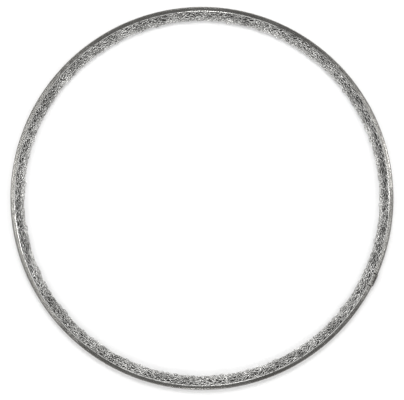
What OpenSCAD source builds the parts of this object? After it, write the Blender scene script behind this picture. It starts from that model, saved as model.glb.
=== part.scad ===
// Exhaust gasket: a ring of knitted wire mesh pressed into a roll-formed steel band.
// The ring lies flat on z = 0 with its axis on +Z. All sizes are in millimetres.

/* [Ring] */
// Outside diameter of the steel band
band_d = 292; // [200:1:400]
// Thickness between the two pressed faces of the gasket
press_t = 5.5; // [4.5:0.1:9]

/* [Steel band] */
// Thickness of the band's sheet
sheet_t = 0.5; // [0.3:0.05:0.7]
// Inside radius of every bend in the band
bend_r = 0.6; // [0.3:0.05:0.9]
// Width of the flat part of each leg of the channel
leg_flat_w = 1.7; // [0.5:0.1:5]
// Angle by which each lip is turned down into the mesh
lip_turn = 45; // [20:1:70]

/* [Lap of the band] */
// Direction of the lap's free end, counted from +X
lap_dir = -27.3; // [-180:0.1:180]
// Length of the tongue that laps over the other end
lap_len = 9.2; // [6:0.1:40]
// Gap between the tongue and the end that it covers
lap_gap = 0.05; // [0.02:0.01:0.12]
// Width of the slit at each end of the tongue, where the legs are cut away
slit_w = 0.9; // [0.4:0.1:2]
// Number of spot welds along the tongue
weld_count = 2; // [1:1:3]
// Diameter of one spot weld
weld_d = 2; // [1:0.1:2.2]
// Depth of the round mark that each weld leaves outside
weld_mark = 0.12; // [0.05:0.01:0.2]

/* [Knitted mesh] */
// Width of the slope from the band's lip up to the pressed face
shoulder_w = 0.9; // [0.4:0.1:3]
// Width of the flat pressed face of the mesh
crown_w = 3.2; // [1:0.1:12]
// Width of the rounded inner edge of the mesh
nose_w = 2.5; // [1:0.1:6]
// Number of knitted stitches around the ring
stitches = 220; // [120:1:230]
// Depth of the gaps between the stitches
knit_depth = 0.5; // [0.1:0.05:0.8]
// Clearance between the mesh and the band that holds it
seat_gap = 0.1; // [0.02:0.01:0.3]

/* [Hidden] */
$fn = 96;

band_r = band_d / 2;
web_in_r = band_r - sheet_t;
bend_out_r = bend_r + sheet_t;
web_h = press_t - 2 * bend_out_r;
leg_in_r = band_r - bend_out_r - leg_flat_w;
lip_in_r = leg_in_r - bend_out_r * sin(lip_turn);
lip_drop = bend_out_r - bend_r * cos(lip_turn);

tongue_in_r = band_r + lap_gap;
tongue_r = tongue_in_r + sheet_t;
lap_a = arc_angle(lap_len);
slit_a = arc_angle(slit_w);
// Depth to which a weld or the step of the strip runs into each sheet
bond_depth = sheet_t / 2;
// Height of the web that is left where the legs are cut away
coped_h = web_h - bond_depth;
// Angle past the lap on which the strip steps out from the ring to the tongue
step_a = slit_a / 2;

neck_h = press_t / 2 - lip_drop - seat_gap;
neck_r = lip_in_r - seat_gap;
crown_out_r = neck_r - shoulder_w;
crown_in_r = crown_out_r - crown_w;
bore_r = crown_in_r - nose_w;
// Each stitch is one high and one low column of the mesh's surface
columns = 2 * stitches;
// One half of the mesh's section, from the back of the channel to the bore, as [radius, height]
half_section = [
    [web_in_r - seat_gap, neck_h],
    [neck_r, neck_h],
    [crown_out_r, press_t / 2],
    [crown_in_r + crown_w / 2, press_t / 2],
    [crown_in_r, press_t / 2],
    [crown_in_r - nose_w * sin(45), press_t / 2 * cos(45)],
    [bore_r, 0]
];
half_count = len(half_section);
section = concat(half_section, [for (k = [half_count - 2 : -1 : 0]) flipped(half_section[k])]);
rows = len(section);
// Rows of the section that lie bare of the band and carry the stitches
first_bare_row = 2;
last_bare_row = rows - 1 - first_bare_row;

// Angle in degrees of an arc length on the band's outside
function arc_angle(length) = length / band_r * 180 / PI;

// A section point mirrored in the ring's middle plane
function flipped(p) = [p[0], -p[1]];

// True where a column and row meet on the wire and false where they meet in a gap
function on_wire(i, j) = (i + j) % 2 == 0;

// Unit vector square to the section at a row, pointing out of the mesh
function outward(j) =
    let (along = section[j + 1] - section[j - 1])
    [along[1], -along[0]] / norm(along);

// Section point of one column and row, sunk between the stitches
function knit_point(i, j) =
    (j < first_bare_row || j > last_bare_row || on_wire(i, j))
        ? section[j]
        : section[j] - knit_depth * outward(j);

// Section point of column i turned to its place around the ring
function ring_point(i, j) =
    let (p = knit_point(i, j), turn = 360 * i / columns)
    [p[0] * cos(turn), p[0] * sin(turn), p[1]];

// Place of a column and row in the list of points
function point_index(i, j) = (i % columns) * rows + j % rows;

// Two triangles of one cell, split along the line that joins its two high corners
function cell(i, j) =
    let (
        a = point_index(i, j),
        b = point_index(i + 1, j),
        c = point_index(i + 1, j + 1),
        d = point_index(i, j + 1)
    )
    on_wire(i, j) ? [[a, b, c], [a, c, d]] : [[a, b, d], [b, c, d]];

// Bar with its two outer corners rounded, centred on the ring's middle plane
module rounded_bar(in_r, out_r, height, corner_r) {
    translate([in_r, -height / 2])
        square([out_r - corner_r - in_r, height]);
    translate([in_r, corner_r - height / 2])
        square([out_r - in_r, height - 2 * corner_r]);
    for (side = [-1, 1])
        translate([out_r - corner_r, side * (height / 2 - corner_r)])
            circle(corner_r);
}

// Lip at the end of one leg, curled from straight up towards the bore
module lip() {
    intersection() {
        difference() {
            circle(bend_out_r);
            circle(bend_r);
        }
        polygon(2 * bend_out_r * [[0, 0], [0, 1], [-sin(lip_turn), cos(lip_turn)]]);
    }
}

// Section of the channel with its web between two radii
module channel_section(in_r, out_r) {
    difference() {
        rounded_bar(leg_in_r, out_r, press_t, bend_out_r);
        rounded_bar(leg_in_r - sheet_t, in_r, press_t - 2 * sheet_t, bend_r);
    }
    for (side = [0, 1])
        mirror([0, side])
            translate([leg_in_r, press_t / 2 - bend_out_r])
                lip();
}

// Upright bar between two radii, centred on the ring's middle plane
module web_section(in_r, out_r, height) {
    translate([in_r, -height / 2])
        square([out_r - in_r, height]);
}

// Section swept around the ring's axis from one angle through another
module arc(from, through) {
    rotate([0, 0, from])
        rotate_extrude(angle = through)
            children();
}

// Takes the legs and bends off an arc of the channel and leaves its web
module leg_cut(from, through) {
    arc(from, through)
        for (side = [0, 1])
            mirror([0, side])
                translate([lip_in_r - sheet_t, coped_h / 2])
                    square([tongue_r - lip_in_r + 2 * sheet_t, press_t]);
}

// Places children at each spot weld, with +Z pointing out of the band
module at_welds() {
    for (k = [1 : weld_count])
        rotate([0, 90, lap_dir + lap_a * k / (weld_count + 1)])
            children();
}

// Channel ring whose legs are cut away under the lap, with its web slit there
module channel_ring() {
    difference() {
        rotate_extrude()
            channel_section(web_in_r, band_r);
        leg_cut(lap_dir - slit_a, lap_a + 2 * slit_a);
        arc(lap_dir + lap_a - slit_a, slit_a)
            web_section(web_in_r - sheet_t, band_r + sheet_t, press_t);
    }
}

// End of the channel that steps out by one sheet and lies over the other end
module tongue() {
    difference() {
        arc(lap_dir, lap_a + step_a)
            channel_section(tongue_in_r, tongue_r);
        leg_cut(lap_dir + lap_a, slit_a);
    }
    arc(lap_dir + lap_a + step_a / 4, step_a / 2)
        web_section(band_r - bond_depth, tongue_in_r + bond_depth, coped_h - 2 * bond_depth);
}

// Roll-formed channel whose end laps over its other end and is welded to it
module retaining_band() {
    color("lightslategray")
        translate([0, 0, press_t / 2])
            difference() {
                union() {
                    channel_ring();
                    tongue();
                    at_welds()
                        translate([0, 0, band_r - bond_depth])
                            cylinder(h = lap_gap + 2 * bond_depth, d = weld_d);
                }
                at_welds()
                    translate([0, 0, tongue_r - weld_mark])
                        cylinder(h = sheet_t, d = weld_d);
            }
}

// Knitted wire pressed to a ring, with a gap between each stitch and the next
module mesh_ring() {
    color("darkgray")
        translate([0, 0, press_t / 2])
            polyhedron(
                points = [for (i = [0 : columns - 1], j = [0 : rows - 1]) ring_point(i, j)],
                faces = [for (i = [0 : columns - 1], j = [0 : rows - 1]) each cell(i, j)]
            );
}

retaining_band();
mesh_ring();
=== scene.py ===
"""Dresses the exhaust gasket: a ring of knitted wire, pressed and held in a roll-formed steel band.

The band shows its own solid with a brushed finish. The knitted ring is replaced by the wire packed
inside it, two layers of stitches over that and a few wires pulled out of them, all laid along the
section that the solid gives. Every length is in metres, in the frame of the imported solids.
"""

import logging
import math
from dataclasses import dataclass
from enum import Enum
from typing import Any

import bmesh
import bpy
import numpy as np
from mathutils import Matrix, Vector


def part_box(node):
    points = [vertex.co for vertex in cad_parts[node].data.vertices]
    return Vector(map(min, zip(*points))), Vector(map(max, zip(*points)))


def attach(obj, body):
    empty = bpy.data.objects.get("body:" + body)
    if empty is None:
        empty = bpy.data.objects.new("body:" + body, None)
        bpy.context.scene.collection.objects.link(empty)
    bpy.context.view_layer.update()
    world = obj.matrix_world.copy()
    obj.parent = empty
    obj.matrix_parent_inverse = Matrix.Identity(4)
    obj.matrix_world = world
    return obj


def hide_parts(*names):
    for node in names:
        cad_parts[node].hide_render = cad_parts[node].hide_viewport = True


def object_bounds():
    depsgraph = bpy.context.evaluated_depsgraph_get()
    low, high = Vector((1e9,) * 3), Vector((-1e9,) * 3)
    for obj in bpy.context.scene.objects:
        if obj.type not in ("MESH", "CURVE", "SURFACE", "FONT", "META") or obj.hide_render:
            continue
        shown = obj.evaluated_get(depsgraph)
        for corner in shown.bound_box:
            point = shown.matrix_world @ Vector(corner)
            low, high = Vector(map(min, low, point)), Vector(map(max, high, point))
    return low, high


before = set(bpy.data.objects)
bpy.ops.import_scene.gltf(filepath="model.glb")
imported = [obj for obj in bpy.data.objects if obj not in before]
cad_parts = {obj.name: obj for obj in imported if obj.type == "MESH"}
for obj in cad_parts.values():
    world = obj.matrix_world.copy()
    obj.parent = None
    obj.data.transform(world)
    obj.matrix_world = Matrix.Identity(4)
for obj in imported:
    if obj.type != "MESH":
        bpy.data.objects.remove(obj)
cad_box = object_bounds()

MM = 0.001
BODY = "root"
BAND_NODE = "retaining_band"
MESH_NODE = "mesh_ring"
# Range that holds most values of the mean of two noises
MIXED_NOISE = (0.38, 0.62)
log = logging.getLogger("gasket")

Colour = tuple[float, float, float]
Range = tuple[float, float]


def placed(name: str, data: bpy.types.ID) -> bpy.types.Object:
    """Puts an object in the scene, at the origin.

    Args:
        name: name of the object.
        data: its mesh, curve, light or camera.

    Returns:
        The object.
    """
    made = bpy.data.objects.new(name, data)
    bpy.context.scene.collection.objects.link(made)
    return made


def paint(piece: bpy.types.Object, material: bpy.types.Material) -> None:
    """Makes a material the only one of a piece."""
    piece.data.materials.clear()
    piece.data.materials.append(material)


class Slot(Enum):
    """Names of two material slots; the band's is named in the log."""

    BAND_STEEL = "band_steel"
    MESH_WIRE = "mesh_wire"


class ShaderGraph:
    """Node tree of one material or world, built node by node."""

    def __init__(self, owner: bpy.types.Material | bpy.types.World) -> None:
        """Empties the owner's node tree and keeps it."""
        owner.use_nodes = True
        self.owner = owner
        self.tree = owner.node_tree
        self.tree.nodes.clear()

    def node(self, kind: str, inputs: dict[str | int, Any] | None = None, **settings: Any) -> bpy.types.Node:
        """Adds one node.

        Args:
            kind: type name of the node, such as ShaderNodeMath.
            inputs: value of an input, or the output socket that drives it, by name or index.
            settings: other properties of the node.

        Returns:
            The new node.
        """
        made = self.tree.nodes.new(kind)
        for name, value in settings.items():
            setattr(made, name, value)
        for key, value in (inputs or {}).items():
            if isinstance(value, bpy.types.NodeSocket):
                self.tree.links.new(value, made.inputs[key])
            else:
                made.inputs[key].default_value = value
        return made

    def math(self, operation: str, *values: Any) -> bpy.types.NodeSocket:
        """Adds a Math node on the values and returns its output."""
        return self.node("ShaderNodeMath", dict(enumerate(values)), operation=operation).outputs[0]

    def mean(self, first: bpy.types.NodeSocket, second: bpy.types.NodeSocket) -> bpy.types.NodeSocket:
        """Returns the mean of two values."""
        return self.math("MULTIPLY_ADD", first, 0.5, self.math("MULTIPLY", second, 0.5))

    def vector(self, operation: str, *values: Any) -> bpy.types.Node:
        """Adds a Vector Math node on the values and returns it."""
        return self.node("ShaderNodeVectorMath", dict(enumerate(values)), operation=operation)

    def noise(self, vector: bpy.types.NodeSocket, scale: float, detail: float = 2.0) -> bpy.types.NodeSocket:
        """Adds a noise of a scale in waves per unit of the vector and returns its factor."""
        inputs = {"Vector": vector, "Scale": scale, "Detail": detail}
        return self.node("ShaderNodeTexNoise", inputs).outputs["Fac"]

    def spread(self, factor: bpy.types.NodeSocket, low: float, high: float,
               start: float = 0.3, end: float = 0.7) -> bpy.types.NodeSocket:
        """Maps a factor between start and end to a value between low and high."""
        inputs = {"Value": factor, "From Min": start, "From Max": end, "To Min": low, "To Max": high}
        return self.node("ShaderNodeMapRange", inputs).outputs["Result"]

    def blend(self, factor: bpy.types.NodeSocket, first: Colour | bpy.types.NodeSocket,
              second: Colour) -> bpy.types.NodeSocket:
        """Mixes two colours.

        Args:
            factor: share of the second colour.
            first: first colour, or the socket that gives it.
            second: second colour.

        Returns:
            The mixed colour.
        """
        start = first if isinstance(first, bpy.types.NodeSocket) else (*first, 1.0)
        inputs = {0: factor, 6: start, 7: (*second, 1.0)}
        return self.node("ShaderNodeMix", inputs, data_type="RGBA").outputs[2]

    def bump(self, height: bpy.types.NodeSocket, distance: float,
             below: bpy.types.NodeSocket | None = None) -> bpy.types.NodeSocket:
        """Adds a bump of a real height.

        Args:
            height: height of the surface, from 0 to 1.
            distance: real height that 1 stands for.
            below: normal of another bump that it lies on.

        Returns:
            The normal of the bump.
        """
        inputs = {"Height": height, "Distance": distance, "Strength": 1.0}
        if below is not None:
            inputs["Normal"] = below
        return self.node("ShaderNodeBump", inputs).outputs["Normal"]

    def place(self) -> bpy.types.NodeSocket:
        """Returns the place on the object, in metres."""
        return self.node("ShaderNodeTexCoord").outputs["Object"]

    def around(self, place: bpy.types.NodeSocket) -> tuple[bpy.types.NodeSocket, ...]:
        """Finds where a place lies about the ring's axis.

        Args:
            place: place on the object.

        Returns:
            Its angle about the axis, its distance from it and its height.
        """
        parts = self.node("ShaderNodeSeparateXYZ", {"Vector": place})
        flat = self.node("ShaderNodeCombineXYZ", {"X": parts.outputs["X"], "Y": parts.outputs["Y"]})
        angle = self.math("ARCTAN2", parts.outputs["Y"], parts.outputs["X"])
        radius = self.vector("LENGTH", flat.outputs[0]).outputs["Value"]
        return angle, radius, parts.outputs["Z"]

    def surface(self, shader: bpy.types.Node, output: str = "ShaderNodeOutputMaterial") -> None:
        """Ends the tree in a shader."""
        self.node(output, {"Surface": shader.outputs[0]})


@dataclass(frozen=True)
class BrushedSteel:
    """Rolled stainless sheet with fine lines along the strip.

    Attributes:
        dull: colour where the sheet is stained.
        bright: colour where the sheet is clean.
        lip: colour of the lips, set apart from the sheet for how bright the light line that they reflect is:
            painted sheen.
        edge: near-black colour of the painted shade on the outer bends, of the blotches of painted shade
        on the lips and of the dark spots around the welds.
        smooth: least roughness.
        rough: most roughness.
        stretch: how far a highlight spreads across the lines.
        line_pitch: distance from one line to the next, across the strip.
        line_length: length of a line along the strip.
        line_depth: depth of a line.
        streak_pitch: distance from one broad streak to the next, across the strip.
        streak_length: length of a broad streak.
        streak_depth: depth of a broad streak.
        ripple_length: length of the shallow waves that rolling leaves.
        ripple_depth: depth of those waves.
        lip_blotch_pitch: distance between the dark blotches of painted shade on the lips.
        weld_dark_core: distance from a weld up to which the sheet is fully darkened.
        weld_dark_edge: distance from a weld at which that darkening ends.
        bend_shade_start: how far a face looks outwards where the painted shade of a bend begins and is full.
        bend_shade_end: how far it does so where that painted shade begins to fade and is gone.
        lip_facing: how far a face looks outwards where it is all lip and no longer lip.
        lip_blotch_range: values of the noise at which a blotch of painted shade on a lip begins and is full.
    """

    dull: Colour = (0.44, 0.43, 0.405)
    bright: Colour = (0.68, 0.67, 0.64)
    lip: Colour = (0.56, 0.555, 0.54)
    edge: Colour = (0.13, 0.126, 0.118)
    smooth: float = 0.14
    rough: float = 0.28
    stretch: float = 0.75
    line_pitch: float = 0.16 * MM
    line_length: float = 16 * MM
    line_depth: float = 0.004 * MM
    streak_pitch: float = 0.9 * MM
    streak_length: float = 30 * MM
    streak_depth: float = 0.06 * MM
    ripple_length: float = 7 * MM
    ripple_depth: float = 0.15 * MM
    lip_blotch_pitch: float = 1.8 * MM
    weld_dark_core: float = 3.0 * MM
    weld_dark_edge: float = 4.4 * MM
    bend_shade_start: Range = (0.15, 0.45)
    bend_shade_end: Range = (0.90, 0.99)
    lip_facing: Range = (-0.40, -0.05)
    lip_blotch_range: Range = (0.56, 0.68)

    @staticmethod
    def brushing(graph: ShaderGraph, place: bpy.types.NodeSocket, ring_r: float, length: float,
                 pitch: float) -> bpy.types.NodeSocket:
        """Makes a noise of marks that run along the strip.

        Args:
            graph: node tree of the material.
            place: place on the object.
            ring_r: radius of the band.
            length: length of a mark.
            pitch: distance from one mark to the next.

        Returns:
            The noise.
        """
        angle, radius, height = graph.around(place)
        along = graph.math("MULTIPLY", angle, ring_r / length)
        across = graph.math("DIVIDE", radius, pitch)
        down = graph.math("DIVIDE", height, pitch)
        strip = graph.node("ShaderNodeCombineXYZ", {"X": along, "Y": across, "Z": down}).outputs[0]
        return graph.noise(strip, 1.0, detail=3.0)

    def material(self, ring_r: float, welds: list[Vector]) -> bpy.types.Material:
        """Makes the material.

        Args:
            ring_r: radius of the band.
            welds: middle of each spot weld.

        Returns:
            The material.
        """
        graph = ShaderGraph(bpy.data.materials.new("rolled_band_steel"))
        place = graph.place()
        _, radius, _ = graph.around(place)
        lines = self.brushing(graph, place, ring_r, self.line_length, self.line_pitch)
        streaks = self.brushing(graph, place, ring_r, self.streak_length, self.streak_pitch)
        ripple = graph.noise(place, 1 / self.ripple_length, detail=1.0)
        stain = graph.noise(place, 1 / (2 * self.ripple_length), detail=3.0)
        waves = graph.bump(streaks, self.streak_depth, graph.bump(ripple, self.ripple_depth))
        normal = graph.bump(lines, self.line_depth, waves)
        facing = graph.node("ShaderNodeNewGeometry").outputs["Normal"]
        strip_way = graph.vector("CROSS_PRODUCT", (0.0, 0.0, 1.0), place).outputs["Vector"]
        across_way = graph.vector("CROSS_PRODUCT", facing, strip_way).outputs["Vector"]
        tangent = graph.vector("NORMALIZE", across_way).outputs["Vector"]
        outward = graph.math("DIVIDE", graph.vector("DOT_PRODUCT", facing, place).outputs["Value"], radius)
        # Painted shade: the outer bends are darkened where they turn outwards, as a dark outline.
        bend = graph.math("MULTIPLY", graph.spread(outward, 0.0, 1.0, *self.bend_shade_start),
                          graph.spread(outward, 1.0, 0.0, *self.bend_shade_end))
        lips = graph.spread(outward, 1.0, 0.0, *self.lip_facing)
        # Painted shade: dark blotches on the lips break the light line that they reflect.
        lip_blotch_shade = graph.spread(graph.noise(place, 1 / self.lip_blotch_pitch), 0.0, 1.0, *self.lip_blotch_range)
        dark = graph.math("MAXIMUM", bend, graph.math("MULTIPLY", lips, lip_blotch_shade))
        # The sheet is darkened in a round spot around each weld.
        for weld in welds:
            away = graph.vector("DISTANCE", place, weld).outputs["Value"]
            dark = graph.math("MAXIMUM", dark, graph.spread(away, 1.0, 0.0, self.weld_dark_core, self.weld_dark_edge))
        tone = graph.spread(graph.mean(stain, streaks), 0.0, 1.0, *MIXED_NOISE)
        sheet = graph.blend(tone, self.dull, self.bright)
        # Painted sheen: the lips take a colour of their own, set for how bright their reflected light line
        # is.
        sheet = graph.blend(lips, sheet, self.lip)
        graph.surface(graph.node("ShaderNodeBsdfPrincipled", {
            "Base Color": graph.blend(dark, sheet, self.edge),
            "Metallic": 1.0,
            "Roughness": graph.spread(lines, self.smooth, self.rough),
            "Anisotropic": self.stretch,
            "Normal": normal,
            "Tangent": tangent,
        }))
        return graph.owner


@dataclass(frozen=True)
class PaintedShadePatch:
    """Stretch of the ring where painted shade darkens the pressed face.

    Attributes:
        bearing: bearing of its middle, in degrees from +X.
        spread: how far it reaches to each side of that, in degrees.
        depth: share of the clean colour that it hides.
    """

    bearing: float
    spread: float
    depth: float


@dataclass(frozen=True)
class DrawnWire:
    """Bright drawn stainless wire, worn and stained in patches.

    Attributes:
        name: name of the material.
        dull: colour of the stained wire.
        bright: colour of the clean wire.
        smooth: least roughness.
        rough: most roughness.
        patch: width of a stained patch.
        grain: length of the fine marks on the wire, whose light and dark are partly wear and partly painted
            glints.
        painted_shade: patches of painted shade.
        painted_shade_r: inner and outer radius of the strip that they lie on.
        painted_shade_edge: distance to each side of that strip's edges on which it fades.
        painted_shade_colour: colour of the painted shade.
    """

    name: str
    dull: Colour
    bright: Colour
    smooth: float
    rough: float
    patch: float = 9 * MM
    grain: float = 1.3 * MM
    painted_shade: tuple[PaintedShadePatch, ...] = ()
    painted_shade_r: Range = (0.0, 1.0)
    painted_shade_edge: float = 0.5 * MM
    painted_shade_colour: Colour = (0.10, 0.098, 0.094)

    def with_painted_shade(self, graph: ShaderGraph, place: bpy.types.NodeSocket,
               clean: bpy.types.NodeSocket) -> bpy.types.NodeSocket:
        """Darkens a colour where the soot lies.

        Args:
            graph: node tree of the material.
            place: place on the object.
            clean: colour without the painted shade.

        Returns:
            The colour with the soot.
        """
        if not self.painted_shade:
            return clean
        _, radius, _ = graph.around(place)
        inner, outer = self.painted_shade_r
        strip = graph.math("MULTIPLY",
                           graph.spread(radius, 0.0, 1.0, inner - self.painted_shade_edge, inner + self.painted_shade_edge),
                           graph.spread(radius, 1.0, 0.0, outer - self.painted_shade_edge, outer + self.painted_shade_edge))
        # Each patch lays painted shade on the strip, fading away from its bearing.
        colour = clean
        for patch in self.painted_shade:
            bearing, spread = math.radians(patch.bearing), math.radians(patch.spread)
            way = (math.cos(bearing), math.sin(bearing), 0.0)
            facing = graph.math("DIVIDE", graph.vector("DOT_PRODUCT", place, way).outputs["Value"], radius)
            reach = graph.spread(facing, 0.0, patch.depth, math.cos(spread), math.cos(spread / 2))
            colour = graph.blend(graph.math("MULTIPLY", strip, reach), colour, self.painted_shade_colour)
        return colour

    def material(self) -> bpy.types.Material:
        """Makes the material.

        Returns:
            The material.
        """
        graph = ShaderGraph(bpy.data.materials.new(self.name))
        place = graph.place()
        # The fine grain's light and dark are partly wear and partly painted glints.
        grain = graph.noise(place, 1 / self.grain)
        both = graph.mean(graph.noise(place, 1 / self.patch), grain)
        clean = graph.blend(graph.spread(both, 0.0, 1.0, *MIXED_NOISE), self.dull, self.bright)
        graph.surface(graph.node("ShaderNodeBsdfPrincipled", {
            "Base Color": self.with_painted_shade(graph, place, clean),
            "Metallic": 1.0,
            "Roughness": graph.spread(grain, self.smooth, self.rough),
        }))
        return graph.owner


@dataclass(frozen=True)
class PackedWireFinish:
    """Dark close-packed wire deep inside the knit.

    Attributes:
        gap: colour of the gaps, near black: painted shade.
        wire: colour of the wires, far darker than bright wire: painted shade.
        roughness: roughness of both.
        wire_pitch: distance from one wire to the next.
        relief: height of the wires over the gaps.
        edge: distance from the middle of a wire, in pitches, at which it is full and ends.
    """

    # Painted shade: the packed wire and its gaps are coloured as the shade deep in the knit.
    gap: Colour = (0.02, 0.02, 0.019)
    wire: Colour = (0.16, 0.157, 0.15)
    roughness: float = 0.45
    wire_pitch: float = 0.5 * MM
    relief: float = 0.2 * MM
    edge: Range = (0.02, 0.22)

    def material(self) -> bpy.types.Material:
        """Makes the material.

        Returns:
            The material.
        """
        graph = ShaderGraph(bpy.data.materials.new("packed_wire"))
        place = graph.place()
        cells = graph.node("ShaderNodeTexVoronoi", {"Vector": place, "Scale": 1 / self.wire_pitch},
                           feature="DISTANCE_TO_EDGE").outputs["Distance"]
        strands = graph.spread(cells, 1.0, 0.0, *self.edge)
        graph.surface(graph.node("ShaderNodeBsdfPrincipled", {
            "Base Color": graph.blend(strands, self.gap, self.wire),
            "Metallic": 1.0,
            "Roughness": self.roughness,
            "Normal": graph.bump(strands, self.relief),
        }))
        return graph.owner


@dataclass(frozen=True)
class SectionPath:
    """Line across the section of the ring, from one lip over the bore to the other, by its own length.

    Attributes:
        along: length from the start of the line to each point.
        radius: distance of each point from the ring's axis.
        height: height of each point over the floor.
        out_r: part of the outward direction away from the axis.
        out_z: part of the outward direction upwards.
    """

    along: np.ndarray
    radius: np.ndarray
    height: np.ndarray
    out_r: np.ndarray
    out_z: np.ndarray

    @property
    def length(self) -> float:
        """Length of the whole line."""
        return float(self.along[-1])

    def at(self, along: np.ndarray, sink: np.ndarray) -> tuple[np.ndarray, ...]:
        """Finds points of the section.

        Args:
            along: lengths from the start of the line.
            sink: how deep each point lies under the line.

        Returns:
            The radii and the heights of the points, and the two parts of the outward direction there.
        """
        radius, height, out_r, out_z = (
            np.interp(along, self.along, row) for row in (self.radius, self.height, self.out_r, self.out_z))
        return radius - sink * out_r, height - sink * out_z, out_r, out_z

    def wrap(self, angle: np.ndarray, along: np.ndarray, sink: np.ndarray) -> tuple[np.ndarray, ...]:
        """Finds points of the ring.

        Args:
            angle: angles about the ring's axis.
            along: lengths from the start of the line.
            sink: how deep each point lies under the line.

        Returns:
            The points, and the directions outwards, across the section and onwards around the ring.
        """
        radius, height, out_r, out_z = (row[..., None] for row in self.at(along, sink))
        none = np.zeros_like(angle)
        away = np.stack([np.cos(angle), np.sin(angle), none], axis=-1)
        onward = np.stack([-np.sin(angle), np.cos(angle), none], axis=-1)
        up = np.array([0.0, 0.0, 1.0])
        return radius * away + height * up, out_r * away + out_z * up, out_r * up - out_z * away, onward


@dataclass(frozen=True)
class RingSection:
    """Section of the pressed mesh, measured on its solid.

    Attributes:
        seat_r: radius of the mesh's back in the band's channel.
        neck_r: radius at which the mesh comes out from under the band's lips.
        neck_h: half the height of the mesh between the lips.
        crown_out_r: outer radius of the flat pressed faces.
        crown_in_r: inner radius of the flat pressed faces.
        bore_r: radius of the bore.
        half_t: half the thickness between the pressed faces.
    """

    seat_r: float
    neck_r: float
    neck_h: float
    crown_out_r: float
    crown_in_r: float
    bore_r: float
    half_t: float

    @classmethod
    def measured(cls, solid: bpy.types.Object) -> "RingSection":
        """Measures the solid of the mesh.

        Args:
            solid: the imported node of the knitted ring.

        Returns:
            The section of that node.
        """
        tiny = 0.01 * MM
        points = np.array([vertex.co for vertex in solid.data.vertices])
        radius = np.hypot(points[:, 0], points[:, 1])
        half_t = float(points[:, 2].max()) / 2
        level = np.abs(points[:, 2] - half_t)
        neck_h = float(level[radius > radius.max() - tiny].max())
        crown = radius[level > half_t - tiny]
        neck = radius[(np.abs(level - neck_h) < tiny) & (radius > crown.max())]
        return cls(float(radius.max()), float(neck.min()), neck_h, float(crown.max()), float(crown.min()),
                   float(radius.min()), half_t)

    @property
    def middle_r(self) -> float:
        """Radius of the middle of the pressed faces."""
        return (self.crown_in_r + self.crown_out_r) / 2

    def path(self, tuck: float, swell: Range = (0.10 * MM, 0.06 * MM),
             step: float = 0.05 * MM, easing: int = 40) -> SectionPath:
        """Draws the line that the stitches follow.

        Args:
            tuck: how far the line runs in under the lips.
            swell: distance from the lips, inwards and down, of the shoulder that swells up beside them.
            step: distance between the points of the line.
            easing: rounds of smoothing that ease its corners.

        Returns:
            The line, from under the upper lip over the bore to under the lower lip.
        """
        turn = np.linspace(0, math.pi, 2 * round(math.pi * self.half_t / (2 * step)) + 1)
        nose_w = self.crown_in_r - self.bore_r
        nose = np.column_stack([self.crown_in_r - nose_w * np.sin(turn), self.half_t * np.cos(turn)])
        corners = np.array([[self.neck_r + tuck, self.neck_h], [self.neck_r, self.neck_h],
                            [self.neck_r - swell[0], self.half_t - swell[1]],
                            [self.crown_out_r, self.half_t], [self.crown_in_r, self.half_t]])
        upper = np.vstack([
            np.linspace(start, end, max(2, round(math.dist(start, end) / step)), endpoint=False)
            for start, end in zip(corners[:-1], corners[1:])])
        line = np.vstack([upper, nose[:-1], (upper * (1, -1))[::-1]])
        for _ in range(easing):
            line[1:-1] = (line[:-2] + 2 * line[1:-1] + line[2:]) / 4
        way = np.gradient(line, axis=0)
        way /= np.linalg.norm(way, axis=1)[:, None]
        pieces = np.linalg.norm(np.diff(line, axis=0), axis=1)
        along = np.concatenate([[0.0], np.cumsum(pieces)])
        return SectionPath(along, line[:, 0], line[:, 1] + self.half_t, way[:, 1], -way[:, 0])


@dataclass(frozen=True)
class Crumple:
    """Smooth random shift over the knit, closed around the ring.

    Attributes:
        seed: seed of its random waves.
        wave: shortest length of a wave.
        size: usual size of the shift.
        waves: number of waves that are added up.
    """

    seed: int
    wave: float
    size: float
    waves: int = 16

    def at(self, turn: np.ndarray, along: np.ndarray, ring_r: float) -> np.ndarray:
        """Finds the shift at angles about the axis and lengths across the section.

        Args:
            turn: angles about the ring's axis.
            along: lengths across the section.
            ring_r: radius of the ring, which sets how many waves go round it.

        Returns:
            The shift at each place.
        """
        draw = np.random.default_rng(self.seed)
        most = round(2 * math.pi * ring_r / self.wave)
        total = np.zeros(np.broadcast(turn, along).shape)
        for _ in range(self.waves):
            turns = int(draw.integers(-most, most + 1))
            across = draw.uniform(-1, 1) * 2 * math.pi / self.wave
            total += np.sin(turns * turn + across * along + draw.uniform(0, 2 * math.pi))
        return total * self.size / math.sqrt(self.waves / 2)


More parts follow.
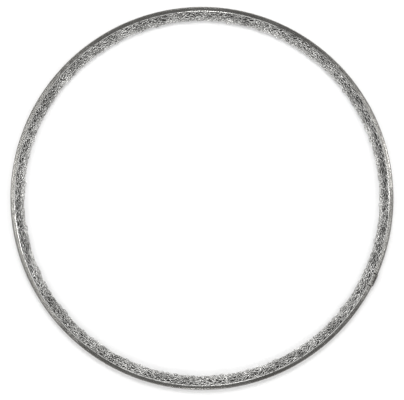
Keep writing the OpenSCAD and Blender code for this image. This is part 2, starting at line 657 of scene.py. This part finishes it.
@dataclass(frozen=True)
class RolledWire:
    """Wire rolled flat, which can be laid along any lines.

    Attributes:
        width: width of the wire.
        thickness: thickness of the wire.
        sides: number of sides of its own section, an even number from 4.
    """

    width: float
    thickness: float
    sides: int = 4

    def lay(self, name: str, lines: np.ndarray, facing: np.ndarray, top: float) -> bpy.types.Object:
        """Lays one wire along each line.

        Args:
            name: name of the piece.
            lines: points of the lines, by line, point and axis.
            facing: direction that the flat wire faces at each point.
            top: height of the upper press plane; the lower one is the floor.

        Returns:
            The piece with all the wires, which are pressed level with the two planes.
        """
        curve = bpy.data.curves.new(name + "_line", "CURVE")
        curve.dimensions = "3D"
        curve.bevel_depth = self.width / 2
        curve.bevel_resolution = self.sides // 2 - 2
        for line in lines:
            spline = curve.splines.new("POLY")
            spline.points.add(len(line) - 1)
            spline.points.foreach_set("co", np.column_stack([line, np.ones(len(line))]).ravel())
        round_wire = placed(name + "_line", curve)
        depsgraph = bpy.context.evaluated_depsgraph_get()
        mesh = bpy.data.meshes.new_from_object(round_wire.evaluated_get(depsgraph))
        bpy.data.objects.remove(round_wire)
        bpy.data.curves.remove(curve)
        mesh.name = name
        places = np.zeros(3 * len(mesh.vertices))
        mesh.vertices.foreach_get("co", places)
        rings = places.reshape(*lines.shape[:2], self.sides, 3)
        proud = np.einsum("cpsa,cpa->cps", rings - lines[:, :, None], facing)
        rings -= (1 - self.thickness / self.width) * proud[..., None] * facing[:, :, None]
        np.clip(rings[..., 2], 0.0, top, out=rings[..., 2])
        mesh.vertices.foreach_set("co", rings.ravel())
        solid = bmesh.new()
        solid.from_mesh(mesh)
        ends = [edge for edge in solid.edges if edge.is_boundary]
        bmesh.ops.holes_fill(solid, edges=ends, sides=self.sides)
        solid.to_mesh(mesh)
        solid.free()
        mesh.shade_smooth()
        return placed(name, mesh)


@dataclass
class KnittedLayer:
    """One layer of stitches over the ring, whose courses of wire run along it.

    Attributes:
        name: name of its pieces.
        section: section of the ring.
        finish: finish of the wire.
        wire: wire that it is knitted from.
        strands: number of wires that run side by side in a course.
        strand_gap: distance from one such wire to the next.
        sink: depth of the wire's middle under the pressed faces.
        stitch_w: width of a stitch along the ring.
        stitch_h: distance from one course to the next across the section.
        points: points on the line of one stitch.
        reach: how far a loop reaches across the section, in steps of stitch_h.
        swell: how far a loop bulges, in widths of a stitch.
        weave: height by which the wire rises and dips along a stitch.
        tuck: how far the layer runs in under the lips.
        arcs: number of lengths of wire in a course.
        crumple: random shifts of the stitches around the ring, across its section and outwards.
        fringe: random reach of the loops that stand out from the free inner edge.
        fringe_w: length across the section, to each side of the inner edge, on which they do so.
        tilt: random tilts of the flat wire, around the ring and across its section.
        drift: random change of the gap between strands, in gaps.
        seed: seed of the places where the courses start.
        sectors: number of pieces that the layer is divided into around the ring.
    """

    name: str
    section: RingSection
    finish: DrawnWire
    wire: RolledWire
    strands: int
    strand_gap: float
    sink: float
    stitch_w: float
    stitch_h: float
    points: int
    reach: float
    swell: float
    weave: float
    tuck: float
    arcs: int
    crumple: tuple[Crumple, Crumple, Crumple]
    fringe: Crumple
    fringe_w: float
    tilt: tuple[Crumple, Crumple]
    drift: Crumple
    seed: int
    sectors: int

    def courses(self) -> tuple[np.ndarray, np.ndarray]:
        """Lays out the wire of every course.

        Returns:
            The points of the wires, by course, point and axis, and the direction that the flat wire
            faces at each of them.
        """
        path = self.section.path(self.tuck)
        ring_r = self.section.middle_r
        rows = round(path.length / self.stitch_h)
        stitches = round(2 * math.pi * ring_r / self.stitch_w)
        width = 2 * math.pi * ring_r / stitches
        draw = np.random.default_rng(self.seed)
        arc = 2 * math.pi / self.arcs
        run = np.linspace(0, arc, round(stitches * self.points / self.arcs) + 1)
        turn = arc * np.repeat(np.arange(self.arcs), rows)[:, None] + run[None, :]
        middle = np.tile(path.length * (np.arange(rows) + 0.5) / rows, self.arcs)[:, None]
        phase = stitches * turn + np.tile(draw.uniform(0, 2 * math.pi, rows), self.arcs)[:, None]
        along = middle + self.reach * self.stitch_h * np.cos(phase)
        slip, side, lift = (field.at(turn, along, ring_r) for field in self.crumple)
        around = self.swell * width * np.sin(2 * phase) + slip
        along = np.clip(along + side, 0, path.length)
        free = np.clip(1 - np.abs(along - path.length / 2) / self.fringe_w, 0, 1)
        stand = free * np.maximum(self.fringe.at(turn, along, ring_r), 0)
        sink = self.sink - self.weave * np.cos(2 * phase) - lift - stand
        angle = turn + around / ring_r
        roll, pitch = (field.at(angle, along, ring_r)[..., None] for field in self.tilt)
        line, out, across, onward = path.wrap(angle, along, sink)
        facing = out + pitch * across + roll * onward
        facing /= np.linalg.norm(facing, axis=2)[:, :, None]
        way = np.gradient(line, axis=1)
        aside = np.cross(facing, way / np.linalg.norm(way, axis=2)[:, :, None])
        spread = self.strand_gap * (1 + self.drift.at(angle, along, ring_r))[:, :, None] * aside
        places = np.arange(self.strands) - (self.strands - 1) / 2
        lines = np.stack([line + place * spread for place in places], axis=1)
        return lines.reshape(-1, *line.shape[1:]), np.repeat(facing, self.strands, axis=0)

    def build(self) -> list[bpy.types.Object]:
        """Builds the layer and dresses it.

        Returns:
            The layer's pieces.
        """
        material = self.finish.material()
        pieces = []
        shares = zip(*(np.array_split(rows, self.sectors) for rows in self.courses()))
        for number, (courses, facing) in enumerate(shares, 1):
            piece = self.wire.lay(f"{self.name}_{number}", courses, facing, 2 * self.section.half_t)
            paint(piece, material)
            pieces.append(piece)
        return pieces


@dataclass(frozen=True)
class StrandGroup:
    """Group of wires that were pulled along the ring.

    Attributes:
        bearing: bearing of the group's middle, in degrees from +X.
        spread: how far its wires lie to each side of that, in degrees.
        count: number of wires.
        start: least length across the section from its inner edge, up the upper face.
        end: greatest such length.
    """

    bearing: float
    spread: float
    count: int
    start: float
    end: float


@dataclass(frozen=True)
class PulledLoop:
    """Loop that was pulled open on the upper face.

    Attributes:
        bearing: bearing of its middle, in degrees from +X.
        inset: length across the section from the inner edge to its middle, up the upper face.
        radius: radius of the loop.
    """

    bearing: float
    inset: float
    radius: float


@dataclass
class PulledStrands:
    """Single wires that lie along the ring over the knit, and loops pulled out of it.

    Attributes:
        section: section of the ring.
        finish: finish of the wire.
        wire: the wire itself.
        groups: wires that lie along the ring.
        loops: loops pulled open.
        sink: depth of the wire's middle under the faces.
        least: least length of a wire.
        most: greatest length of a wire.
        sway: how far a wire sways across the section.
        sway_turn: least and greatest half angle of that sway, in radians.
        sway_start: greatest angle at which it starts, in radians.
        loop_growth: share by which a loop grows from its middle to its end.
        turn: angle that a loop goes round.
        points: points on the line of each.
        seed: seed of the wires' places and lengths.
    """

    section: RingSection
    finish: DrawnWire
    wire: RolledWire
    groups: tuple[StrandGroup, ...]
    loops: tuple[PulledLoop, ...]
    sink: float = 0.1 * MM
    least: float = 9 * MM
    most: float = 30 * MM
    sway: float = 0.25 * MM
    sway_turn: Range = (2.0, 5.0)
    sway_start: float = 6.0
    loop_growth: float = 0.08
    turn: float = math.radians(420)
    points: int = 40
    seed: int = 31

    def build(self) -> bpy.types.Object:
        """Lays all the wires and loops and dresses them.

        Returns:
            The piece that holds them.
        """
        path = self.section.path(0.0)
        ring_r, inner_edge = self.section.middle_r, path.length / 2
        draw = np.random.default_rng(self.seed)
        run = np.linspace(-1, 1, self.points)
        angles, alongs = [], []
        for group in self.groups:
            for _ in range(group.count):
                middle = math.radians(group.bearing + draw.uniform(-group.spread, group.spread))
                angles.append(middle + run * draw.uniform(self.least, self.most) / (2 * ring_r))
                bend = draw.uniform(*self.sway_turn) * run
                sway = self.sway * np.sin(bend + draw.uniform(0, self.sway_start))
                alongs.append(inner_edge - draw.uniform(group.start, group.end) + sway)
        for loop in self.loops:
            round_turn = run * self.turn / 2
            swell = loop.radius * (1 + self.loop_growth * run)
            angles.append(math.radians(loop.bearing) + swell * np.cos(round_turn) / ring_r)
            alongs.append(inner_edge - loop.inset + swell * np.sin(round_turn))
        angle, along = np.array(angles), np.array(alongs)
        lines, facing, _, _ = path.wrap(angle, along, np.full_like(along, self.sink))
        piece = self.wire.lay("pulled_strands", lines, facing, 2 * self.section.half_t)
        paint(piece, self.finish.material())
        return piece


@dataclass
class PackedWire:
    """Wire packed inside the knit, which closes the gaps of the stitches.

    Attributes:
        section: section of the ring.
        finish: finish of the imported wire.
        sink: depth of its face under the pressed faces.
        bore_sink: depth of its face under the inner edge.
        bore_w: length across the section, to each side of the inner edge, on which it sinks to that.
        tuck: how far it runs in under the lips.
        step: distance between the points of its outline.
        turns: number of steps around the ring.
    """

    section: RingSection
    finish: PackedWireFinish
    sink: float
    bore_sink: float
    bore_w: float
    tuck: float
    step: float = 0.7 * MM
    turns: int = 720

    def build(self) -> bpy.types.Object:
        """Spins the outline into a closed ring and dresses it.

        Returns:
            The ring.
        """
        path = self.section.path(self.tuck)
        along = np.linspace(0, path.length, round(path.length / self.step) + 1)
        free = np.clip(1 - np.abs(along - path.length / 2) / self.bore_w, 0, 1)
        radius, height, _, _ = path.at(along, self.sink + free * (self.bore_sink - self.sink))
        solid = bmesh.new()
        verts = [solid.verts.new((r, 0.0, z)) for r, z in zip(radius, height)]
        edges = [solid.edges.new(pair) for pair in zip(verts, verts[1:] + verts[:1])]
        bmesh.ops.spin(solid, geom=verts + edges, cent=(0, 0, 0), axis=(0, 0, 1), angle=2 * math.pi,
                       steps=self.turns, use_merge=True, use_duplicate=False)
        bmesh.ops.recalc_face_normals(solid, faces=solid.faces)
        mesh = bpy.data.meshes.new("packed_wire")
        solid.to_mesh(mesh)
        solid.free()
        mesh.shade_smooth()
        piece = placed("packed_wire", mesh)
        paint(piece, self.finish.material())
        return piece


@dataclass
class KnittedRing:
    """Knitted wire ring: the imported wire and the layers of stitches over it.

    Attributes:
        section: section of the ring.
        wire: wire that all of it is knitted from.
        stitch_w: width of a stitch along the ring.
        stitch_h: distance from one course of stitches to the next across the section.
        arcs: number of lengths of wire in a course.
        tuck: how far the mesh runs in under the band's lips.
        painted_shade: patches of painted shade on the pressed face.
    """

    section: RingSection
    wire: RolledWire = RolledWire(0.36 * MM, 0.20 * MM)
    stitch_w: float = 6.0 * MM
    stitch_h: float = 1.2 * MM
    arcs: int = 24
    tuck: float = 1.0 * MM
    # Painted shade: the pressed face is darkened at the right, the left and the top.
    painted_shade: tuple[PaintedShadePatch, ...] = (
        PaintedShadePatch(8, 36, 0.36),
        PaintedShadePatch(172, 36, 0.20),
        PaintedShadePatch(90, 22, 0.12),
    )

    @property
    def painted_shade_r(self) -> Range:
        """Inner and outer radius of the pressed face, on which the painted shade lies."""
        return self.section.crown_in_r, self.section.crown_out_r

    def face_layer(self) -> KnittedLayer:
        """Plans the stitches that lie at the pressed faces.

        Returns:
            Their layer.
        """
        finish = DrawnWire("bright_wire", (0.38, 0.376, 0.364), (0.95, 0.945, 0.925), 0.12, 0.28,
                           painted_shade=self.painted_shade, painted_shade_r=self.painted_shade_r)
        crumple = (
            Crumple(11, 7 * MM, 0.6 * MM), Crumple(12, 7 * MM, 0.35 * MM), Crumple(13, 6 * MM, 0.08 * MM))
        tilt = (Crumple(15, 0.9 * MM, 0.40), Crumple(16, 0.9 * MM, 0.40))
        return KnittedLayer(
            "face_stitches", self.section, finish, self.wire, strands=2,
            strand_gap=0.36 * MM, sink=0.26 * MM, stitch_w=self.stitch_w, stitch_h=self.stitch_h, points=16,
            reach=0.5, swell=0.06, weave=0.16 * MM, tuck=self.tuck, arcs=self.arcs, crumple=crumple,
            fringe=Crumple(18, 4.5 * MM, 0.6 * MM), fringe_w=4.2 * MM, tilt=tilt,
            drift=Crumple(17, 5 * MM, 0.35), seed=14, sectors=4)

    def under_layer(self) -> KnittedLayer:
        """Plans the stitches that show through the gaps of the face.

        Returns:
            Their layer.
        """
        # Painted shade: the deeper layer's wire is a darker copy of the face's bright wire.
        finish = DrawnWire("inner_wire", (0.36, 0.355, 0.345), (0.72, 0.715, 0.70), 0.18, 0.34,
                           painted_shade=self.painted_shade, painted_shade_r=self.painted_shade_r)
        crumple = (
            Crumple(21, 9 * MM, 0.7 * MM), Crumple(22, 9 * MM, 0.7 * MM), Crumple(23, 7 * MM, 0.06 * MM))
        tilt = (Crumple(25, 1.6 * MM, 0.25), Crumple(26, 1.6 * MM, 0.25))
        return KnittedLayer(
            "inner_stitches", self.section, finish, self.wire, strands=1,
            strand_gap=0.36 * MM, sink=0.62 * MM, stitch_w=self.stitch_w, stitch_h=self.stitch_h, points=14,
            reach=0.6, swell=0.06, weave=0.16 * MM, tuck=self.tuck, arcs=self.arcs, crumple=crumple,
            fringe=Crumple(28, 4.5 * MM, 0.1 * MM), fringe_w=4.2 * MM, tilt=tilt,
            drift=Crumple(27, 5 * MM, 0.35), seed=24, sectors=2)

    def strays(self) -> PulledStrands:
        """Plans the pulled wires, closest together at the ring's right and left, and the pulled loops.

        Returns:
            The wires and loops.
        """
        finish = DrawnWire("stray_wire", (0.50, 0.495, 0.48), (0.90, 0.895, 0.875), 0.14, 0.28)
        groups = (StrandGroup(0, 10, 9, 0.6 * MM, 3.2 * MM), StrandGroup(181, 9, 9, 0.6 * MM, 3.2 * MM),
                  StrandGroup(90, 170, 26, 1.5 * MM, 9.0 * MM))
        loops = (PulledLoop(-13, 5.6 * MM, 2.7 * MM), PulledLoop(27, 6.2 * MM, 1.7 * MM),
                 PulledLoop(236, 5.2 * MM, 1.9 * MM), PulledLoop(141, 6.0 * MM, 1.6 * MM))
        return PulledStrands(self.section, finish, self.wire, groups, loops)

    def build(self) -> list[bpy.types.Object]:
        """Builds every piece of the ring and puts it in the place of its solid.

        Returns:
            The pieces.
        """
        packed = PackedWire(self.section, PackedWireFinish(), sink=1.0 * MM, bore_sink=2.0 * MM,
                            bore_w=4.0 * MM, tuck=self.section.seat_r - self.section.neck_r).build()
        pieces = [packed, *self.under_layer().build(), *self.face_layer().build(), self.strays().build()]
        for piece in pieces:
            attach(piece, BODY)
            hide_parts(MESH_NODE)
        return pieces


@dataclass
class RetainingBand:
    """Roll-formed channel around the mesh, shown by its own solid.

    Attributes:
        solid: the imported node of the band.
        finish: finish of the sheet.
        welds: number of spot welds along the tongue that laps over the band's other end.
    """

    solid: bpy.types.Object
    finish: BrushedSteel
    welds: int = 2

    def weld_places(self, ring_r: float, middle_z: float) -> list[Vector]:
        """Finds the spot welds, which share out the length of the tongue.

        Args:
            ring_r: radius of the band beside the tongue.
            middle_z: height of the band's middle plane.

        Returns:
            The middle of each weld, on the outside of the tongue.
        """
        points = np.array([vertex.co for vertex in self.solid.data.vertices])
        radius = np.hypot(points[:, 0], points[:, 1])
        tongue_r = radius.max()
        tongue = points[radius > (ring_r + tongue_r) / 2]
        turn = np.arctan2(tongue[:, 1], tongue[:, 0])
        shares = np.linspace(turn.min(), turn.max(), self.welds + 2)[1:-1]
        return [Vector((tongue_r * math.cos(share), tongue_r * math.sin(share), middle_z))
                for share in shares]

    def dress(self) -> bpy.types.Object:
        """Gives the solid its finish.

        Returns:
            The solid.
        """
        _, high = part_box(self.solid.name)
        welds = self.weld_places(high.y, high.z / 2)
        paint(self.solid, self.finish.material(high.y, welds))
        return self.solid


@dataclass(frozen=True)
class Softbox:
    """Square or oblong soft lamp.

    Attributes:
        name: name of the lamp.
        bearing: direction of the lamp seen from above, from +X.
        rise: angle of the lamp over the floor.
        distance: distance of the lamp from the gasket.
        width: width of the lamp.
        height: height of the lamp.
        power: power in watts.
        mirrored: whether metal shows the lamp itself, or only the floor shows its light.
    """

    name: str
    bearing: float
    rise: float
    distance: float
    width: float
    height: float
    power: float
    mirrored: bool = True

    def build(self) -> bpy.types.Object:
        """Hangs the lamp and turns it to the gasket.

        Returns:
            The lamp.
        """
        light = bpy.data.lights.new(self.name, "AREA")
        light.shape = "RECTANGLE"
        light.size = self.width
        light.size_y = self.height
        light.energy = self.power
        lamp = placed(self.name, light)
        bearing, rise = math.radians(self.bearing), math.radians(self.rise)
        way = Vector((math.cos(rise) * math.cos(bearing), math.cos(rise) * math.sin(bearing), math.sin(rise)))
        lamp.location = way * self.distance
        lamp.rotation_euler = way.to_track_quat("Z", "Y").to_euler()
        lamp.visible_camera = False
        lamp.visible_glossy = self.mirrored
        return lamp


@dataclass(frozen=True)
class Viewpoint:
    """Camera straight above the ring, framed as the photograph is.

    Attributes:
        image_w: width of the image in pixels.
        image_h: height of the image in pixels.
        ring_x: pixel column of the ring's axis, counted from the middle of the first pixel.
        ring_y: pixel row of the ring's axis, counted in the same way.
        ring_px: radius of the band in pixels.
        distance: distance of the camera from the middle of the ring.
        sensor: width of the camera's sensor in millimetres.
    """

    image_w: int = 404
    image_h: int = 400
    ring_x: float = 201.44
    ring_y: float = 197.86
    ring_px: float = 191.25
    distance: float = 1.2
    sensor: float = 36.0

    def build(self, band_r: float, middle_z: float) -> bpy.types.Object:
        """Places the camera.

        Args:
            band_r: radius of the band.
            middle_z: height of the ring's middle plane.

        Returns:
            The camera.
        """
        pixel = band_r / self.ring_px
        data = bpy.data.cameras.new("camera")
        data.sensor_width = self.sensor
        data.lens = self.sensor * self.distance / (pixel * self.image_w)
        camera = placed("camera", data)
        aim_x = ((self.image_w - 1) / 2 - self.ring_x) * pixel
        aim_y = (self.ring_y - (self.image_h - 1) / 2) * pixel
        camera.location = (aim_x, aim_y, middle_z + self.distance)
        bpy.context.scene.camera = camera
        return camera


@dataclass
class Studio:
    """Pale floor, soft lamps and a room with pale walls around the gasket.

    Attributes:
        floor_size: half the width of the floor.
        floor_drop: depth of the floor under the gasket, which keeps the two from sharing a plane.
        floor_colour: grey of the floor.
        floor_glow: share of white that is added to the floor where it is seen.
        room_light: strength of the light from the room overhead.
        wall_light: strength of the light from its pale walls.
        wall_foot: sine of the angle over the floor up to which the walls are full in the light.
        wall_top: sine of the angle over the floor at which the walls end.
        side_light: strength of the light from its two bright sides.
        side_bearings: directions of those sides seen from above, from +X.
        side_edge: cosine of the angle from such a direction at which its light begins.
        side_core: cosine of the angle at which its light is full.
        lamps: lamps of the studio.
    """

    floor_size: float = 4.0
    floor_drop: float = 0.05 * MM
    floor_colour: float = 0.76
    floor_glow: float = 0.06
    room_light: float = 0.13
    wall_light: float = 1.62
    wall_foot: float = 0.55
    wall_top: float = 0.82
    side_light: float = 1.5
    side_bearings: tuple[float, ...] = (12.0, 168.0)
    side_edge: float = 0.30
    side_core: float = 0.75
    lamps: tuple[Softbox, ...] = (
        Softbox("left_panel", 180, 77, 1.33, 0.56, 0.07, 0.34),
        Softbox("right_panel", 5, 77, 1.33, 0.44, 0.07, 0.20),
        Softbox("left_lamp", 178, 77, 1.33, 0.14, 0.06, 0.03),
        Softbox("right_lamp", 16, 77, 1.33, 0.09, 0.06, 0.04),
        Softbox("low_right_lamp", -22, 77, 1.33, 0.05, 0.06, 0.02),
        Softbox("left_glint", 172, 52, 1.4, 0.18, 0.18, 1.0),
        Softbox("right_glint", 12, 52, 1.4, 0.18, 0.18, 1.4),
        Softbox("top_glint", 92, 42, 1.4, 0.18, 0.18, 0.5),
        Softbox("low_glint", 268, 42, 1.4, 0.18, 0.18, 1.3),
        Softbox("window", 90, 60, 1.4, 0.4, 0.4, 8.0, mirrored=False),
    )

    @staticmethod
    def seen(graph: ShaderGraph) -> bpy.types.NodeSocket:
        """Finds the rays that show the background, by itself, in metal or through glass.

        Args:
            graph: node tree of the material.

        Returns:
            1 for such a ray and 0 for any other.
        """
        path = graph.node("ShaderNodeLightPath").outputs
        shown = graph.math("MAXIMUM", path["Is Camera Ray"], path["Is Glossy Ray"])
        return graph.math("MAXIMUM", shown, path["Is Transmission Ray"])

    def floor(self) -> bpy.types.Object:
        """Lays the floor.

        Returns:
            The floor.
        """
        grid = bmesh.new()
        bmesh.ops.create_grid(grid, x_segments=2, y_segments=2, size=self.floor_size)
        bmesh.ops.translate(grid, verts=grid.verts, vec=(0, 0, -self.floor_drop))
        mesh = bpy.data.meshes.new("floor")
        grid.to_mesh(mesh)
        grid.free()
        graph = ShaderGraph(bpy.data.materials.new("pale_floor"))
        coat = graph.node("ShaderNodeBsdfDiffuse", {"Color": (*(self.floor_colour,) * 3, 1.0)})
        glow = graph.node("ShaderNodeEmission",
                          {"Strength": graph.math("MULTIPLY", self.seen(graph), self.floor_glow)})
        graph.surface(graph.node("ShaderNodeAddShader", {0: coat.outputs[0], 1: glow.outputs[0]}))
        mesh.materials.append(graph.owner)
        floor = placed("floor", mesh)
        return floor

    def room(self) -> bpy.types.World:
        """Lights the room from its walls and two bright sides and shows it white to the camera.

        Returns:
            The room.
        """
        world = bpy.data.worlds.new("room")
        bpy.context.scene.world = world
        graph = ShaderGraph(world)
        way = graph.node("ShaderNodeTexCoord").outputs["Generated"]
        rise = graph.node("ShaderNodeSeparateXYZ", {"Vector": way}).outputs["Z"]
        light = graph.spread(rise, self.wall_light, self.room_light, self.wall_foot, self.wall_top)
        for bearing in map(math.radians, self.side_bearings):
            side = (math.cos(bearing), math.sin(bearing), 0.0)
            facing = graph.vector("DOT_PRODUCT", way, side).outputs["Value"]
            lit = graph.spread(facing, 0.0, self.side_light, self.side_edge, self.side_core)
            light = graph.math("MAXIMUM", light, lit)
        path = graph.node("ShaderNodeLightPath").outputs
        strength = graph.math("MAXIMUM", path["Is Camera Ray"], light)
        sky = graph.node("ShaderNodeBackground", {"Color": (1, 1, 1, 1), "Strength": strength})
        graph.surface(sky, "ShaderNodeOutputWorld")
        return world

    def build(self) -> None:
        """Sets up the floor, the lamps and the room."""
        self.floor()
        self.room()
        for lamp in self.lamps:
            lamp.build()


def main() -> None:
    """Builds and dresses the gasket."""
    logging.basicConfig(level=logging.INFO)
    bpy.context.scene.view_settings.view_transform = "Standard"
    section = RingSection.measured(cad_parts[MESH_NODE])
    band = RetainingBand(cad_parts[BAND_NODE], BrushedSteel()).dress()
    log.info("%s keeps its solid, in slot %s", band.name, Slot.BAND_STEEL.value)
    for piece in KnittedRing(section).build():
        log.info("%s has %d triangles", piece.name, sum(len(f.vertices) - 2 for f in piece.data.polygons))
    Studio().build()
    _, high = cad_box
    Viewpoint().build(high[1], section.half_t)


if __name__ == "__main__":
    main()
